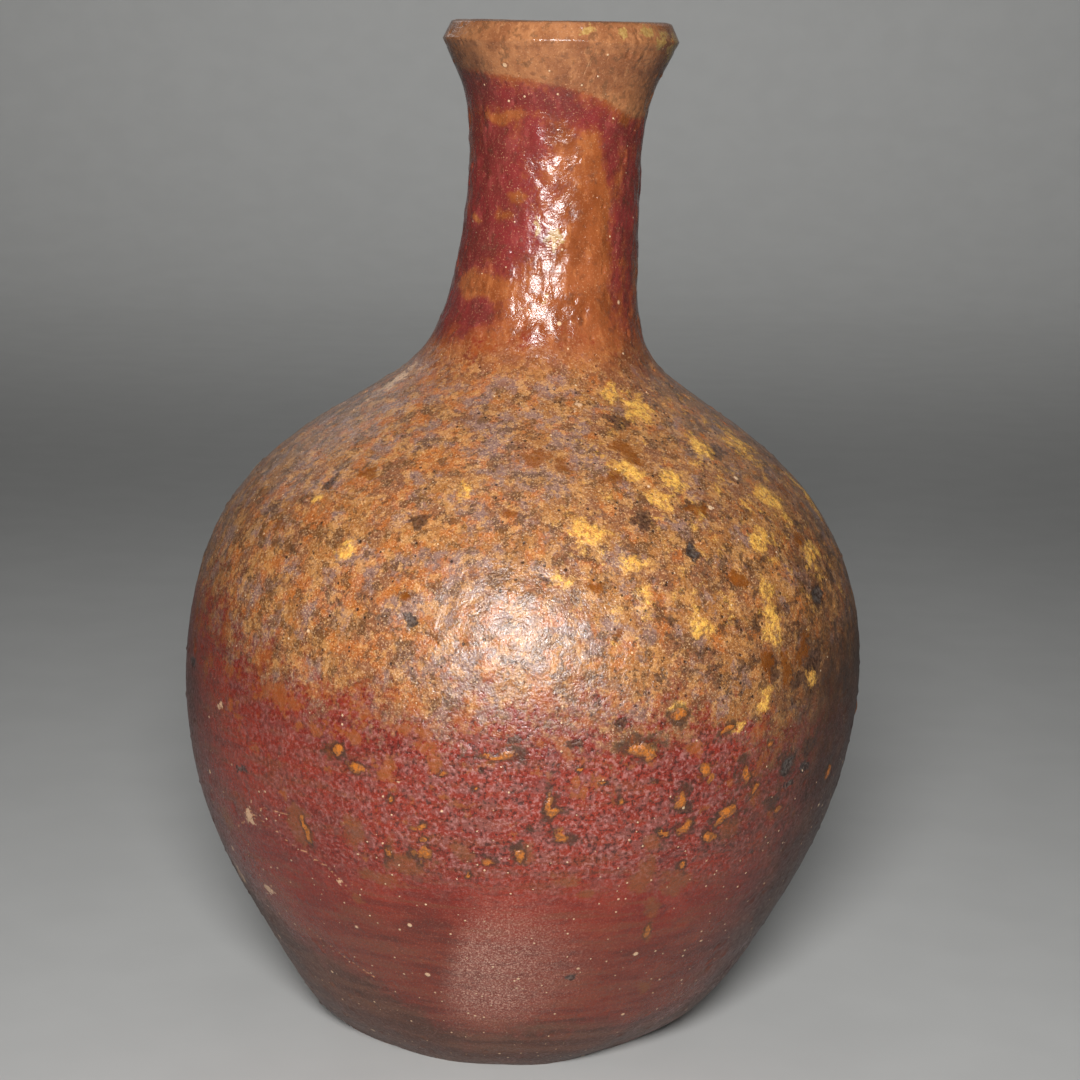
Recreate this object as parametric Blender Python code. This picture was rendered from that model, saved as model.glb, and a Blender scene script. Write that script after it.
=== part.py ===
"""Round-bellied stoneware sake bottle, in the members that its potter joined before firing.

Run with: blender --background --python part.py
Metres, +Z up. The origin is on the ground, under the middle of the belly. Each member is a turned
shell, a closed ring of clay, and the bottle's centre line drifts sideways a little from foot to rim,
as it does on a hand-built pot. The belly is built up in four courses of coiled clay.
"""
import math

import bmesh
import bpy
import numpy as np

MM = 0.001

# Driving dimensions. The outline is given as (height, outer radius), and a smooth curve joins it.
BOTTLE_HEIGHT = 250 * MM
FOOT_RADIUS = 41.2 * MM
BELLY_RADIUS = 84.4 * MM
NECK_RADIUS = 21.1 * MM
LIP_RADIUS = 28.5 * MM
BODY_OUTLINE = [
    (0.0, FOOT_RADIUS),
    (4 * MM, 46.8 * MM),
    (12 * MM, 54.6 * MM),
    (25 * MM, 62.8 * MM),
    (40 * MM, 71.2 * MM),
    (60 * MM, 79.6 * MM),
    (90 * MM, BELLY_RADIUS),
    (118 * MM, 80.0 * MM),
    (132 * MM, 73.0 * MM),
    (144 * MM, 62.4 * MM),
    (154 * MM, 49.2 * MM),
    (162 * MM, 37.0 * MM),
    (166.5 * MM, 31.2 * MM),
    (171 * MM, 27.6 * MM),
    (178 * MM, 24.6 * MM),
    (188 * MM, 22.7 * MM),
    (200 * MM, 21.6 * MM),
    (214 * MM, NECK_RADIUS),
    (226 * MM, 21.5 * MM),
    (236 * MM, 24.0 * MM),
    (242 * MM, 26.9 * MM),
    (245.5 * MM, LIP_RADIUS),
]

# Sideways drift of the centre line, as (height, shift towards +X).
CENTRE_LINE = [
    (0.0, -3.6 * MM),
    (14 * MM, -1.4 * MM),
    (30 * MM, -0.8 * MM),
    (70 * MM, -0.4 * MM),
    (110 * MM, 0.4 * MM),
    (150 * MM, 0.0),
    (175 * MM, 2.4 * MM),
    (200 * MM, 4.9 * MM),
    (225 * MM, 5.9 * MM),
    (BOTTLE_HEIGHT, 6.5 * MM),
]

# Wall thickness, as (height, thickness): heaviest low down, thinnest in the neck.
WALL = [
    (0.0, 8.0 * MM),
    (40 * MM, 7.0 * MM),
    (90 * MM, 6.2 * MM),
    (150 * MM, 5.6 * MM),
    (190 * MM, 4.9 * MM),
    (BOTTLE_HEIGHT, 4.6 * MM),
]

# Joins between members: the heights where each one meets the outer and the inner face of the wall.
HEEL_JOIN = (46 * MM, 48 * MM)
BELLY_JOIN = (90 * MM, 87 * MM)
UPPER_JOIN = (132 * MM, 127 * MM)
NECK_JOIN = (168.5 * MM, 164.5 * MM)
LIP_JOIN = (236 * MM, 236 * MM)
JOIN_GAP = 0.3 * MM

# Foot slab: a flat disc whose underside is dished inside a flat ring that the bottle rests on.
SLAB_THICKNESS = 9 * MM
FLOOR_DISH = 1.5 * MM
FLOOR_RADIUS = 40 * MM
FOOT_RING_INNER_RADIUS = 25 * MM
FOOT_RECESS = 1.2 * MM
FLAT_SHARE = 0.6  # how much of the floor's and the recess's radius is flat, before they slope

# Lip: a straight bevel that leans in above the widest line, a crowned rim and a flared mouth.
RIM_OUTER_RADIUS = 26.5 * MM
RIM_INNER_RADIUS = 23.2 * MM
RIM_CROWN = 0.4 * MM
MOUTH_RADIUS = 21.6 * MM
MOUTH_HEIGHT = 246.5 * MM
THROAT_RADIUS = 20 * MM
THROAT_HEIGHT = 241.5 * MM

SEGMENTS = 64
STEPS_PER_SPAN = 6
SLAB_STEP = 2.3 * MM
BODY_STEP = 8 * MM
NECK_STEP = 5.5 * MM
LIP_STEP = 2.4 * MM
INNER_STEP_FACTOR = 1.8
SHARP_ANGLE = math.radians(50)
MERGE_DISTANCE = 0.01 * MM

# Fired clay: colour (linear), roughness.
FOOT_CLAY = ((0.150, 0.070, 0.045), 0.80)
HEEL_CLAY = ((0.180, 0.050, 0.035), 0.60)
RED_CLAY = ((0.190, 0.040, 0.028), 0.50)
ASH_CLAY = ((0.270, 0.110, 0.045), 0.55)
SHOULDER_CLAY = ((0.300, 0.130, 0.045), 0.55)
NECK_CLAY = ((0.260, 0.058, 0.030), 0.40)
LIP_CLAY = ((0.400, 0.170, 0.070), 0.55)


def smooth_curve(points):
    """Points along the natural cubic spline, timed by distance, that passes through every given point."""
    knots = np.array(points)
    gaps = np.linalg.norm(np.diff(knots, axis=0), axis=1)
    slopes = np.diff(knots, axis=0) / gaps[:, None]
    count = len(knots)
    system = np.eye(count)
    bends = np.zeros((count, 2))
    for k in range(1, count - 1):
        system[k, k - 1 : k + 2] = gaps[k - 1], 2 * (gaps[k - 1] + gaps[k]), gaps[k]
        bends[k] = 6 * (slopes[k] - slopes[k - 1])
    bends = np.linalg.solve(system, bends)
    curve = []
    for k, gap in enumerate(gaps):
        for step in range(STEPS_PER_SPAN):
            t = gap * step / STEPS_PER_SPAN
            slope = slopes[k] - gap * (2 * bends[k] + bends[k + 1]) / 6
            bend_rate = (bends[k + 1] - bends[k]) / gap
            curve.append(tuple(knots[k] + slope * t + bends[k] * t ** 2 / 2 + bend_rate * t ** 3 / 6))
    curve.append(tuple(knots[-1]))
    return curve


def read_curve(curve, height):
    """The curve's second value at a height, read between its nearest points."""
    for (z0, value0), (z1, value1) in zip(curve, curve[1:]):
        if z0 <= height <= z1:
            return value0 + (value1 - value0) * (height - z0) / (z1 - z0)
    return curve[0][1] if height < curve[0][0] else curve[-1][1]


def inner_face(outline):
    """The outline moved inwards, square to itself, by the wall's thickness."""
    moved = []
    for before, here, after in zip(outline, outline[1:], outline[2:]):
        rise = after[0] - before[0]
        spread = after[1] - before[1]
        length = math.hypot(rise, spread)
        thickness = read_curve(WALL, here[0])
        moved.append((here[0] + thickness * spread / length, here[1] - thickness * rise / length))
    return moved


OUTER = smooth_curve(BODY_OUTLINE)
INNER = inner_face(OUTER)
DRIFT = smooth_curve(CENTRE_LINE)


def stretch(curve, low, high, spacing):
    """Evenly spread (radius, height) points of a curve, from one height up to another."""
    count = max(1, round((high - low) / spacing))
    heights = [low + (high - low) * k / count for k in range(count + 1)]
    return [(read_curve(curve, z), z) for z in heights]


def wall_section(bottom, top, spacing):
    """Closed section of a stretch of wall: up the outer face and down the inner one."""
    outer = stretch(OUTER, bottom[0], top[0], spacing)
    inner = stretch(INNER, bottom[1], top[1], spacing * INNER_STEP_FACTOR)
    return outer + inner[::-1]


def above(join):
    """The same join, raised by the gap that parts two members."""
    return tuple(height + JOIN_GAP for height in join)


def clay_material(name, clay):
    colour, roughness = clay
    material = bpy.data.materials.new(name)
    material.use_nodes = True
    shader = material.node_tree.nodes["Principled BSDF"]
    shader.inputs["Base Color"].default_value = (*colour, 1.0)
    shader.inputs["Roughness"].default_value = roughness
    shader.inputs["Metallic"].default_value = 0.0
    material.diffuse_color = (*colour, 1.0)
    return material


def turned_member(name, section, clay, closed=True):
    """Turn a section of (radius, height) points about the centre line into one solid of clay."""
    bm = bmesh.new()
    verts = [bm.verts.new((radius, 0.0, height)) for radius, height in section]
    pairs = list(zip(verts, verts[1:]))
    if closed:
        pairs.append((verts[-1], verts[0]))
    edges = [bm.edges.new(pair) for pair in pairs]
    bmesh.ops.spin(
        bm,
        geom=verts + edges,
        cent=(0, 0, 0),
        axis=(0, 0, 1),
        angle=2 * math.pi,
        steps=SEGMENTS,
        use_merge=True,
    )
    bmesh.ops.remove_doubles(bm, verts=bm.verts, dist=MERGE_DISTANCE)
    bmesh.ops.dissolve_degenerate(bm, edges=bm.edges, dist=MERGE_DISTANCE)
    for vert in bm.verts:
        vert.co.x += read_curve(DRIFT, vert.co.z)
    bmesh.ops.recalc_face_normals(bm, faces=bm.faces)
    mesh = bpy.data.meshes.new(name)
    bm.to_mesh(mesh)
    bm.free()
    mesh.shade_smooth()
    mesh.set_sharp_from_angle(angle=SHARP_ANGLE)
    mesh.materials.append(clay_material(name, clay))
    member = bpy.data.objects.new(name, mesh)
    bpy.context.scene.collection.objects.link(member)
    return member


def foot_slab():
    """The disc that the wall stands on, with a flat resting ring and the floor of the hollow."""
    outer = stretch(OUTER, 0.0, SLAB_THICKNESS, SLAB_STEP)
    underside = [
        (0.0, FOOT_RECESS),
        (FLAT_SHARE * FOOT_RING_INNER_RADIUS, FOOT_RECESS),
        (FOOT_RING_INNER_RADIUS, 0.0),
    ]
    floor = [
        (FLOOR_RADIUS, SLAB_THICKNESS),
        (FLAT_SHARE * FLOOR_RADIUS, SLAB_THICKNESS - FLOOR_DISH),
        (0.0, SLAB_THICKNESS - FLOOR_DISH),
    ]
    return turned_member("foot_slab", underside + outer + floor, FOOT_CLAY, closed=False)


def heel_course():
    """The first course, spreading up from the slab."""
    slab_join = (SLAB_THICKNESS, SLAB_THICKNESS)
    return turned_member("heel_course", wall_section(above(slab_join), HEEL_JOIN, BODY_STEP), HEEL_CLAY)


def belly_course():
    """The course under the belly's widest line."""
    return turned_member("belly_course", wall_section(above(HEEL_JOIN), BELLY_JOIN, BODY_STEP), RED_CLAY)


def upper_course():
    """The course above the belly's widest line, which begins to close in."""
    return turned_member("upper_course", wall_section(above(BELLY_JOIN), UPPER_JOIN, BODY_STEP), ASH_CLAY)


def shoulder_course():
    """The last course, drawn in over the shoulder to the neck's opening."""
    section = wall_section(above(UPPER_JOIN), NECK_JOIN, BODY_STEP)
    return turned_member("shoulder_course", section, SHOULDER_CLAY)


def neck():
    """The thrown tube luted into the shoulder's opening."""
    return turned_member("neck", wall_section(above(NECK_JOIN), LIP_JOIN, NECK_STEP), NECK_CLAY)


def lip():
    """The band turned out around the mouth."""
    start = LIP_JOIN[0] + JOIN_GAP
    flare = stretch(OUTER, start, BODY_OUTLINE[-1][0], LIP_STEP)
    rim = [
        (RIM_OUTER_RADIUS, BOTTLE_HEIGHT - RIM_CROWN),
        (0.5 * (RIM_OUTER_RADIUS + RIM_INNER_RADIUS), BOTTLE_HEIGHT),
        (RIM_INNER_RADIUS, BOTTLE_HEIGHT - RIM_CROWN),
    ]
    mouth = [
        (MOUTH_RADIUS, MOUTH_HEIGHT),
        (THROAT_RADIUS, THROAT_HEIGHT),
        (read_curve(INNER, start), start),
    ]
    return turned_member("lip", flare + rim + mouth, LIP_CLAY)


def main():
    for old in list(bpy.data.objects):
        bpy.data.objects.remove(old)
    foot_slab()
    heel_course()
    belly_course()
    upper_course()
    shoulder_course()
    neck()
    lip()


main()
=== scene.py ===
"""Looks of the stoneware sake bottle: the wood-fired, ash-marked surface of the CAD's turned members.

Azimuth is in degrees around the bottle: 0 faces the camera, +90 faces +X. Lengths are in metres, but names
that end in _MM or _mm, the lists of kiln marks, and any height beside an azimuth are in millimetres.
"""
import math

import bpy
import numpy as np
from mathutils import Matrix, Vector


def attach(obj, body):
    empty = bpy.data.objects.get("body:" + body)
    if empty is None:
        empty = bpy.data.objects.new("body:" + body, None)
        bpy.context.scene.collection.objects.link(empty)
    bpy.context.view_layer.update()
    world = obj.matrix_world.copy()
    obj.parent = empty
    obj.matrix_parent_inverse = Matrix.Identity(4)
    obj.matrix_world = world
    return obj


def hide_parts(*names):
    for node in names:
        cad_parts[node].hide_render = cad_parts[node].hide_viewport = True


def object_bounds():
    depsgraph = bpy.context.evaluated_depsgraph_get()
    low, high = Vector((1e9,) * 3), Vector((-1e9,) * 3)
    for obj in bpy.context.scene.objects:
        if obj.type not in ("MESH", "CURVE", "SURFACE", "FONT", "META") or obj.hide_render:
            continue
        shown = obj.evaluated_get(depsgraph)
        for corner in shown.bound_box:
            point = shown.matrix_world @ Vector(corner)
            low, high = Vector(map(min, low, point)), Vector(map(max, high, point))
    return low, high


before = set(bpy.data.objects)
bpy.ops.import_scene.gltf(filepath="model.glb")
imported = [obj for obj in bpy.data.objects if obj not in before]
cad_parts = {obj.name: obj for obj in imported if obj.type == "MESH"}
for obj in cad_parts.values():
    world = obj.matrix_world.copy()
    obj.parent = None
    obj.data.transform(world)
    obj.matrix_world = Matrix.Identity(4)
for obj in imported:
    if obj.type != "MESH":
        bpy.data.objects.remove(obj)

cad_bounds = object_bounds()

MM = 0.001
MEMBERS = ("foot_slab", "heel_course", "belly_course", "upper_course", "shoulder_course", "neck", "lip")
COLUMNS = 640
BODY_ROW = 0.8 * MM
NECK_ROW = 0.6 * MM
LIP_ROW = 0.45 * MM
HIDDEN_ROW = 4 * MM
BELLY_RADIUS_MM = 80
# The slab's inner corners below this height belong to its underside, the others to the hollow.
UNDERSIDE_TOP = 3 * MM


# ---------------------------------------------------------------- the CAD's section

def cad_section():
    """Each node's half-section edges on its +X side, and the centre line's shift at each ring's height."""
    edges = {}
    levels = {}
    on_plane = 0.01 * MM
    for name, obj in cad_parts.items():
        co = np.array([vert.co for vert in obj.data.vertices])
        flat = np.abs(co[:, 1]) < on_plane
        for x, _, z in co[flat]:
            levels.setdefault(round(float(z), 5), []).append(float(x))
        edges[name] = [
            (co[a][[0, 2]], co[b][[0, 2]])
            for a, b in (edge.vertices for edge in obj.data.edges)
            if flat[a] and flat[b] and min(co[a, 0], co[b, 0]) > 0
        ]
    heights = sorted(levels)
    shifts = [(max(levels[z]) + min(levels[z])) / 2 for z in heights]
    return edges, np.array(heights), np.array(shifts)


SECTION_EDGES, LEVELS, SHIFTS = cad_section()


def centre_shift(z):
    return np.interp(z, LEVELS, SHIFTS)


def outermost(x, z):
    """Whether nothing of the section lies further out than this point at its height."""
    slack, further = 0.02 * MM, 0.2 * MM
    for edges in SECTION_EDGES.values():
        for (xa, za), (xb, zb) in edges:
            if abs(zb - za) > slack and min(za, zb) - slack <= z <= max(za, zb) + slack:
                if xa + (xb - xa) * (z - za) / (zb - za) > x + further:
                    return False
    return True


def member_faces():
    """The corners of each node's section, as (radius, height), split into outer face and inner face."""
    faces = {}
    for name in MEMBERS:
        corners = {(round(float(x), 6), round(float(z), 6)) for edge in SECTION_EDGES[name] for x, z in edge}
        outer, inner = [], []
        for x, z in sorted(corners, key=lambda corner: corner[1]):
            face = outer if outermost(x, z) else inner
            face.append((x - float(centre_shift(z)), z))
        faces[name] = (outer, inner)
    return faces


def merged(points):
    """The points in order, with the two that a join's gap parts drawn together."""
    same_corner = 1.0 * MM
    kept = []
    for point in points:
        if kept and math.dist(kept[-1], point) < same_corner:
            kept[-1] = tuple((p + q) / 2 for p, q in zip(kept[-1], point))
        else:
            kept.append(tuple(point))
    return kept


FACES = member_faces()
OUTER_CORNERS = merged([corner for name in MEMBERS for corner in FACES[name][0]])
INNER_CORNERS = merged([corner for name in MEMBERS for corner in FACES[name][1] if corner[1] > UNDERSIDE_TOP])
# Where the lip's flare ends and its bevel starts: the widest corner in the top tenth of the bottle.
LIP_EDGE = max(
    (corner for corner in OUTER_CORNERS if corner[1] > 0.9 * LEVELS[-1]),
    key=lambda corner: corner[0],
)
FOOT_RADIUS = OUTER_CORNERS[0][0]


def natural_spline(points, step=0.1 * MM):
    """Close-set points of the natural cubic spline, timed by distance, through the given ones."""
    knots = np.array(points, float)
    gaps = np.linalg.norm(np.diff(knots, axis=0), axis=1)
    slopes = np.diff(knots, axis=0) / gaps[:, None]
    count = len(knots)
    system = np.eye(count)
    bends = np.zeros((count, 2))
    for k in range(1, count - 1):
        system[k, k - 1 : k + 2] = gaps[k - 1], 2 * (gaps[k - 1] + gaps[k]), gaps[k]
        bends[k] = 6 * (slopes[k] - slopes[k - 1])
    bends = np.linalg.solve(system, bends)
    times = np.concatenate([[0], np.cumsum(gaps)])
    at = np.linspace(0, times[-1], int(times[-1] / step) + 1)
    k = np.clip(np.searchsorted(times, at, side="right") - 1, 0, count - 2)
    t = (at - times[k])[:, None]
    gap = gaps[k][:, None]
    slope = slopes[k] - gap * (2 * bends[k] + bends[k + 1]) / 6
    return knots[k] + slope * t + bends[k] * t ** 2 / 2 + (bends[k + 1] - bends[k]) / gap * t ** 3 / 6


def rows_between(curve, start, end, spacing):
    """Evenly spaced (radius, height) rows of a curve, from one of its points to another."""
    piece = curve[start : end + 1]
    arc = np.concatenate([[0], np.cumsum(np.linalg.norm(np.diff(piece, axis=0), axis=1))])
    at = np.linspace(0, arc[-1], max(2, math.ceil(arc[-1] / spacing) + 1))
    return np.stack([np.interp(at, arc, piece[:, 0]), np.interp(at, arc, piece[:, 1])], axis=1)


def nearest(curve, corner):
    return int(np.argmin(np.linalg.norm(curve - np.array(corner), axis=1)))


# ---------------------------------------------------------------- noise

# Large odd numbers that scramble a lattice point's three coordinates, its seed and the result.
AXIS_FACTORS = (73856093, 19349663, 83492791)
SEED_FACTOR = 2654435761
MIX_FACTOR = 1274126177


def lattice(cell, seed):
    """A repeatable value from -1 to 1 at each whole-number point."""
    x, y, z = (cell[..., axis] * factor for axis, factor in enumerate(AXIS_FACTORS))
    mixed = x ^ y ^ z ^ (seed * SEED_FACTOR)
    mixed = ((mixed ^ (mixed >> 13)) * MIX_FACTOR) & 0x7FFFFFFF
    return ((mixed ^ (mixed >> 16)) & 0xFFFF) / 32767.5 - 1


def noise(points, size, seed, octaves=1):
    """Smooth noise from about -1 to 1, with features of the given size in metres."""
    total = 0.0
    strength = 1.0
    for octave in range(octaves):
        place = points / size * 2 ** octave + 0.37 * seed
        cell = np.floor(place).astype(np.int64)
        part = place - cell
        part = part * part * part * (part * (part * 6 - 15) + 10)
        value = 0.0
        for corner in range(8):
            offset = np.array([corner & 1, corner >> 1 & 1, corner >> 2 & 1])
            weight = np.prod(np.where(offset, part, 1 - part), axis=-1)
            value = value + weight * lattice(cell + offset, seed + octave)
        total = total + strength * value
        strength *= 0.5
    return total


def smooth(value, low=0.0, high=1.0):
    """0 below low, 1 above high, and an even S between."""
    t = np.clip((value - low) / (high - low), 0, 1)
    return t * t * (3 - 2 * t)


def turn_value(azimuth, points):
    """A value that changes with azimuth, given at a few azimuths and joined around the back."""
    at, values = zip(*points)
    return np.interp(azimuth, at, values, period=360)


def patches(azimuth, height, places):
    """1 at the middle of the nearest patch, 0 at its edge and less beyond. A place is (azimuth, height, half
    width, half height), with the half width in millimetres on a circle of the belly's radius."""
    outside_all = -3.0
    best = np.full(azimuth.shape, outside_all)
    for az, z, half_width, half_height in places:
        across = ((azimuth - az + 180) % 360 - 180) * math.radians(1) * BELLY_RADIUS_MM
        best = np.maximum(best, 1 - np.hypot(across / half_width, (height - z) / half_height))
    return best


# ---------------------------------------------------------------- kiln marks

# Where the ash on the shoulder gives way to the red belly: (azimuth, height).
ASH_EDGE = [
    (-180, 104), (-130, 112), (-75, 113), (-60, 111), (-45, 105), (-30, 101), (-15, 97), (0, 95), (15, 96),
    (28, 97), (40, 92), (52, 89), (65, 91), (90, 97), (140, 99),
]
# The slanting edge under the lip where the neck's red stops: (azimuth, height).
NECK_RED_TOP = [
    (-180, 233), (-100, 239), (-60, 238), (-25, 236.5), (0, 235), (20, 233), (40, 229.5), (60, 227),
    (120, 229),
]
# Yellow ash on the shoulder, as patches.
YELLOW_ASH = [
    (-32.5, 131.5, 4, 3), (13, 137, 8, 4), (21, 123.5, 4, 4.5), (20, 131, 6, 2.5), (44.5, 114, 4, 7),
    (46, 123, 5, 3), (31, 143, 7, 4), (24, 150, 8, 3), (36, 147, 7, 3), (8, 128, 4, 2), (40, 160, 9, 4),
    (34, 164, 6, 3), (52, 152, 8, 4), (60, 140, 7, 5), (50, 133, 6, 3), (25, 99.5, 4, 1.6),
    (30, 117, 4, 3), (41, 98, 2.5, 5), (54, 100, 2.5, 4), (20, 91, 3, 1.6), (36, 93, 2, 2),
    (64, 127, 5, 4), (72, 150, 8, 5), (84, 136, 7, 6), (96, 122, 6, 7), (110, 145, 9, 5),
    (-46, 140, 3, 2), (-12, 145, 3, 2), (-96, 138, 5, 3),
]
# Dark amber glass where the ash ran thick.
AMBER_GLASS = [
    (3, 152, 6, 2.5), (20, 148, 5, 2), (28, 153, 5, 2), (38, 140, 4, 1.6), (12, 126, 3, 1.3),
    (40, 126, 3, 1.5), (62, 131, 4, 2), (-36, 147, 3, 1.2), (-19, 124, 2, 1), (47, 104, 2.5, 5),
    (52, 108, 3, 4), (42, 107, 2, 3), (10, 150, 4, 1.5), (15, 117, 2, 1.2), (-2, 141, 2.5, 1),
    (70, 140, 5, 2), (88, 128, 5, 3), (-52, 134, 3, 1.2),
]
# Orange lumps of slag on the red belly, as patches.
SLAG_LUMPS = [
    (5.3, 79.5, 1.3, 2.2), (6, 77, 1.7, 1.2), (7.5, 71.5, 1.9, 1.2), (-14.5, 65, 2, 1.5),
    (-14.5, 68.5, 0.9, 0.9), (30.5, 84, 2, 1.5), (32, 82, 1.3, 1.2), (38, 82, 1.2, 2.4),
    (27.5, 71, 1.9, 2), (26, 78.5, 1.2, 2), (36.5, 73, 2.4, 2), (33.5, 67, 1.6, 1.6), (24, 70, 1.4, 1),
    (-28.5, 87.5, 1.5, 1.2), (-25, 84.5, 2, 1), (1, 66.5, 1, 1.8), (-4, 65, 1.2, 1),
    (-20.5, 65, 1, 1.6), (26, 43, 0.8, 2.2), (-15.5, 71.5, 1.4, 0.8), (48, 71, 1.8, 1.1),
    (-7, 61, 1, 0.7), (-3, 89, 3.6, 1.0), (19, 91, 2.8, 1.7), (21, 89.5, 1.4, 1.3),
    (34, 93.5, 1.3, 1.2), (25, 98.5, 2, 1.2), (41, 78, 1, 1.3), (-36, 66, 0.8, 2), (35, 71, 1.1, 1.2),
    (13, 83, 0.7, 0.6), (-9, 76, 0.8, 0.6), (16.5, 79, 0.6, 0.9), (-11, 86.5, 0.9, 0.8),
    (10, 88, 0.7, 0.6), (-19, 78, 0.7, 0.8), (43, 88, 1, 0.8), (22, 83, 0.6, 0.6), (-6, 81, 0.5, 0.7),
    (2, 73, 0.6, 0.6), (29, 61, 0.9, 1.1), (64, 74, 2, 2), (82, 84, 2.4, 2), (97, 70, 2, 2.6),
    (-88, 82, 1.6, 1.4), (-120, 71, 2, 1.6), (150, 78, 2, 2),
]
# Grey and black scars where something touched the clay.
SCARS = [
    (-51, 77.5, 2.4, 1.8), (11.8, 31, 2.4, 1.4), (48, 82, 4, 2.4), (54, 80, 3, 1.6), (50, 77, 2, 1.2),
    (-18.5, 118, 1.8, 1.4), (33, 132, 2, 1.6), (44, 61, 1.6, 1.1), (61, 118, 3, 2), (-71, 96, 2.4, 1.6),
    (120, 88, 4, 2), (-140, 66, 3, 2),
]
# Pale scuffs, as patches. The wide one high on the left shoulder, at -72, is a painted reflection of the
# room.
SCUFFS_AND_REFLECTION = [
    (-50, 65.5, 2.6, 3), (-57, 90, 2.4, 1), (-53, 44, 3, 2), (33.3, 60.2, 1, 1), (-67, 44, 3, 3),
    (-30, 54, 1, 1.2), (-72, 163, 7, 5), (16, 162, 3, 1.4),
]
# A pale sheen low on the front, a painted reflection of the lit floor in front, as patches.
FLOOR_REFLECTION_PATCHES = [(-5, 35, 21, 16), (-4, 27, 18, 9)]
# The painted reflection's straight left side: (height, azimuth).
FLOOR_REFLECTION_SIDE = [(15, -16.5), (22, -16), (30, -14), (45, -9.5), (60, -6)]
# Scratches, each a line of (azimuth, height) points.
SCRATCHES = [
    [(-50, 67), (-42, 62), (-33, 58), (-29, 53)],
    [(-44, 37), (-36, 31), (-30, 27)],
    [(-56, 60), (-49, 66)],
    [(-47, 68), (-40, 69)],
    [(2, 129.5), (5, 128.5), (7, 126.5)],
    [(-53, 175), (-47, 170)],
    [(13, 237), (15, 241)],
    [(70, 66), (80, 60), (88, 59)],
]
# Crimson flashes on the neck, as patches, beside the band of crimson that runs along NECK_RED_TOP.
NECK_CRIMSON = [
    (-43, 213, 60, 26), (-62, 198, 40, 11), (-45, 181, 34, 6), (-68, 182, 34, 10), (-105, 208, 60, 26),
    (64, 206, 26, 32), (95, 205, 44, 30), (150, 212, 50, 22), (40, 219, 14, 9), (-14, 221, 22, 12),
    (50, 196, 16, 16),
]
# Orange flashes that cross the crimson.
NECK_ORANGE = [
    (-32, 204, 14, 3), (-24, 208, 9, 3), (-45, 187.5, 46, 4.5), (24, 212, 17, 15),
    (-36, 227.5, 30, 1.9), (30, 203, 14, 7), (36, 184, 16, 5), (90, 190, 30, 6), (150, 196, 30, 6),
    (-130, 188, 50, 7), (-56, 203.5, 8, 1.6), (46, 227, 9, 3),
]
# Yellow-green blobs on the lip and lower neck.
LIP_YELLOW = [
    (13, 247.8, 8, 1.2), (33, 247, 5, 1.6), (48, 248, 8, 1.3), (60, 246, 9, 2.2), (75, 244, 16, 4),
    (4, 199, 7, 2.6), (-8, 202, 3, 2.5), (95, 246, 14, 3), (-150, 247, 10, 2), (0, 185, 4, 1.6),
]
# How much of the shoulder each kind of ash covers, around the bottle: (azimuth, cover).
GOLD_COVER = [
    (-180, -0.16), (-110, -0.14), (-60, -0.16), (-25, -0.15), (-2, -0.11), (14, -0.05), (30, -0.03),
    (60, -0.03), (110, -0.06),
]
AMBER_COVER = [
    (-180, -0.16), (-60, -0.16), (-20, -0.14), (0, -0.11), (30, -0.09), (60, -0.09), (120, -0.11),
]
RUST_COVER = [
    (-180, 0.0), (-75, 0.0), (-40, 0.03), (-20, 0.02), (0, -0.02), (30, -0.03), (60, -0.01), (120, 0.0),
]
MAUVE_COVER = [
    (-180, -0.02), (-75, 0.05), (-45, 0.02), (-20, 0.02), (5, 0.02), (20, -0.02), (40, -0.04),
    (70, 0.0), (120, 0.0),
]
DARK_COVER = [
    (-180, -0.08), (-60, -0.10), (-20, -0.10), (5, -0.08), (22, -0.04), (45, -0.01), (62, 0.0),
    (100, -0.03),
]
# How strongly the pebbled skin, painted side shade, dark dots and shade under the lip show: (azimuth, share).
PEEL = [(-180, 0.5), (-70, 0.25), (-35, 0.6), (-12, 1), (22, 1), (60, 0.6), (120, 0.5)]
# Painted shade on the sides and back, turned from the front light: (azimuth, share).
PAINTED_SIDE_SHADE = [
    (-180, 0.5), (-100, 0.6), (-72, 0.55), (-58, 0.25), (-44, 0), (24, 0), (45, 0.4), (60, 0.85),
    (90, 1.0), (140, 0.8),
]
SPECKLE = [(-180, 0.4), (-60, 0.15), (-20, 0.3), (10, 0.5), (35, 1), (60, 1), (120, 0.7)]
LIP_SHADE = [
    (-180, 0.5), (-90, 0.9), (-62, 0.9), (-50, 0.7), (-36, 0.1), (-20, 0), (36, 0), (50, 0.25),
    (62, 0.7), (90, 0.9),
]
# How high the bare clay of the heel reaches: (azimuth, height).
BARE_TOP = [
    (-180, 30), (-90, 58), (-62, 40), (-45, 32), (-25, 24), (-12, 15), (10, 16), (30, 12), (50, 18),
    (70, 26), (110, 34),
]
# Brown and black smears of glassy ash, as patches.
DARK_SMEARS = [
    (48, 82, 5, 3), (55, 85, 4, 3), (50, 101, 4, 3), (56, 104, 3, 4), (43, 105, 2, 4),
    (33, 132, 2, 1.6), (60, 118, 4, 3), (24, 139, 3, 1.6), (38, 141, 4, 1.6), (-46, 144, 3, 1.5),
    (8, 92.5, 2, 1.4), (-1, 93, 1.6, 1.2), (-5, 86, 1.4, 1), (27, 76, 2.4, 1.6), (33, 72, 2, 1.6),
    (23, 70.5, 2, 1.4), (15, 97, 2, 1.4), (68, 96, 5, 6), (-20, 139, 3, 1.4), (46, 74, 3, 2),
    (56, 150, 6, 2), (30, 158, 7, 2), (-120, 120, 5, 4), (120, 110, 6, 5), (160, 130, 5, 3),
]
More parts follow.
